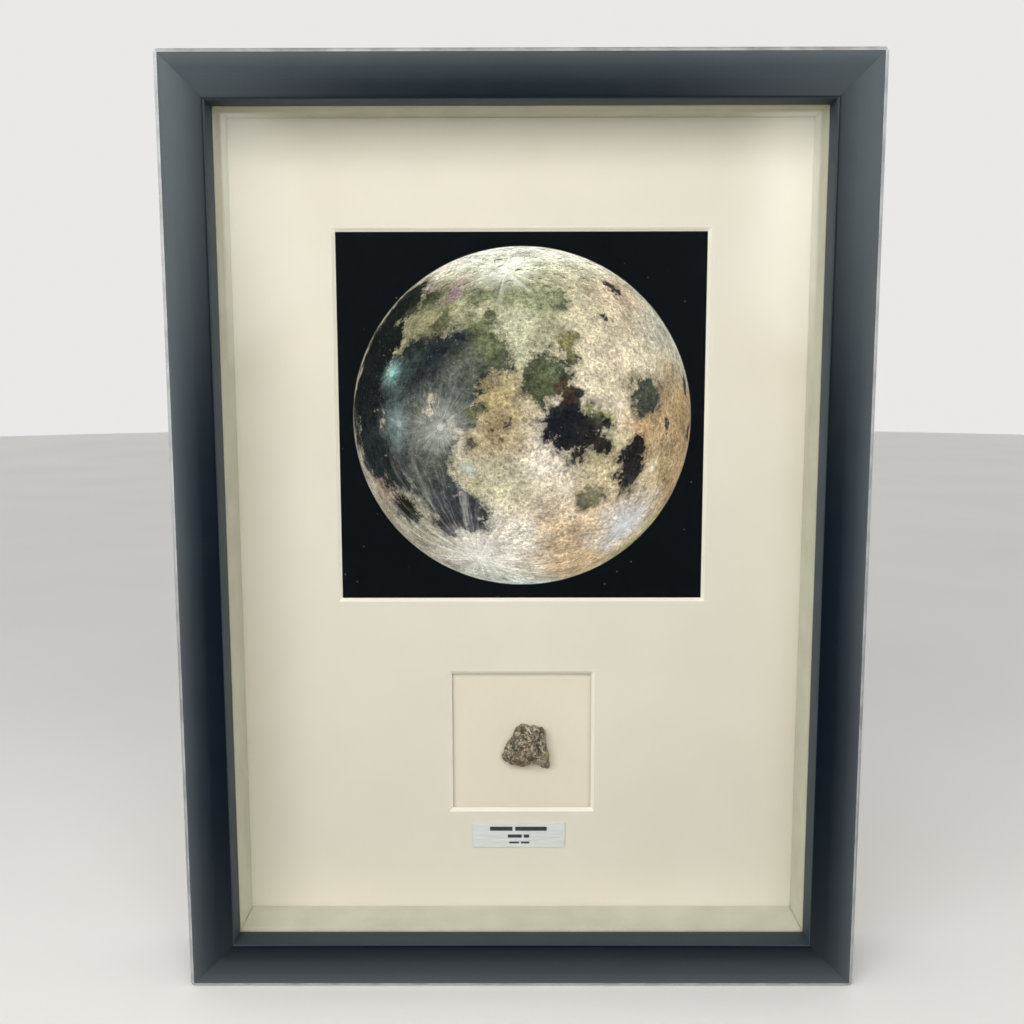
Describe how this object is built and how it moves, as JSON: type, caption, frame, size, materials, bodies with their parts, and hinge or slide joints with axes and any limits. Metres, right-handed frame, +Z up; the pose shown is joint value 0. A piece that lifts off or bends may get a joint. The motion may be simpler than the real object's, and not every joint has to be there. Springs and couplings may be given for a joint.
{
  "type": "framed lunar meteorite",
  "caption": "Small grey-brown meteorite fixed in a window of a cream mat in a deep charcoal shadow-box frame, below a square picture of the full Moon and above a blank metal plate.",
  "frame": {"origin": "middle of the bottom edge's footprint, on the surface the display stands on", "axes": "+Z up the display, +X to the viewer's right across its front, -Y out of its front"},
  "size_m": [0.279, 0.048, 0.379],
  "materials": {
    "frame_lacquer": "satin charcoal lacquer on a wood moulding, with a thin silver outer edge",
    "clear_pane": "clear picture glass",
    "spacer_board": "cream paper on foam board",
    "mat_paper": "cream mat board with pale bevels",
    "card_paper": "cream mounting card",
    "print_paper": "satin photo print of the Moon on black",
    "meteorite_stone": "broken breccia, grey-brown with pale and dark specks",
    "plate_metal": "brushed lengthways",
    "fibre_board": "brown hard fibre board",
    "tab_steel": "blued spring steel",
    "hanger_steel": "zinc-plated, stamped"
  },
  "bodies": {
    "root": {"frame_rail_top": "frame_lacquer", "frame_rail_bottom": "frame_lacquer", "frame_rail_left": "frame_lacquer", "frame_rail_right": "frame_lacquer", "glazing": "clear_pane", "spacer_top": "spacer_board", "spacer_bottom": "spacer_board", "spacer_left": "spacer_board", "spacer_right": "spacer_board", "mat_board": "mat_paper", "moon_print": "print_paper", "mount_card": "card_paper", "meteorite": "meteorite_stone", "label_plate": "plate_metal", "backing_board": "fibre_board", "backing_tab_1": "tab_steel", "backing_tab_2": "tab_steel", "backing_tab_3": "tab_steel", "backing_tab_4": "tab_steel", "backing_tab_5": "tab_steel", "backing_tab_6": "tab_steel", "backing_tab_7": "tab_steel", "backing_tab_8": "tab_steel", "sawtooth_hanger": "hanger_steel"}
  },
  "joints": []
}
